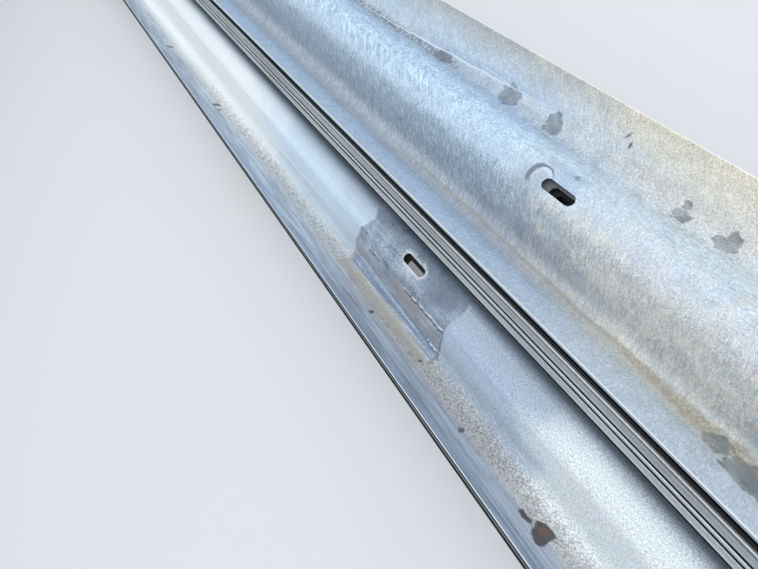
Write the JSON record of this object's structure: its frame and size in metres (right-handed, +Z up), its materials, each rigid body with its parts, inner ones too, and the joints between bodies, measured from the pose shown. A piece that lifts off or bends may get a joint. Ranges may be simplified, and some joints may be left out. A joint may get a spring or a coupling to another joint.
{
  "type": "stack of highway guardrail sections",
  "caption": "Highway guardrail sections of W-shaped sheet steel, stacked face down in nested piles on timber bearers, slotted for post and splice bolts.",
  "frame": {"origin": "on the ground, under the middle of the stack's box", "axes": "+X along the rails, +Y across them from the low pile to the high one, +Z up"},
  "size_m": [8.1456, 0.5814, 0.3589],
  "materials": {
    "right_top_rail": "weathered galvanised sheet with a mottled spangle",
    "left_top_rail": "galvanised sheet with fine lengthwise rolling lines and a dirt patch",
    "rails_below": "weathered galvanised sheet",
    "timber": "rough sawn, weathered"
  },
  "bodies": {
    "root": {"left_pile_rail_1": "rails_below", "left_pile_rail_2": "rails_below", "left_pile_rail_3": "left_top_rail", "right_pile_rail_1": "rails_below", "right_pile_rail_2": "rails_below", "right_pile_rail_3": "rails_below", "right_pile_rail_4": "rails_below", "right_pile_rail_5": "rails_below", "right_pile_rail_6": "rails_below", "right_pile_rail_7": "right_top_rail", "timber_bearer_1": "timber", "timber_bearer_2": "timber", "timber_bearer_3": "timber", "timber_bearer_4": "timber", "timber_packer_1": "timber", "timber_packer_2": "timber", "timber_packer_3": "timber", "timber_packer_4": "timber"}
  },
  "joints": []
}
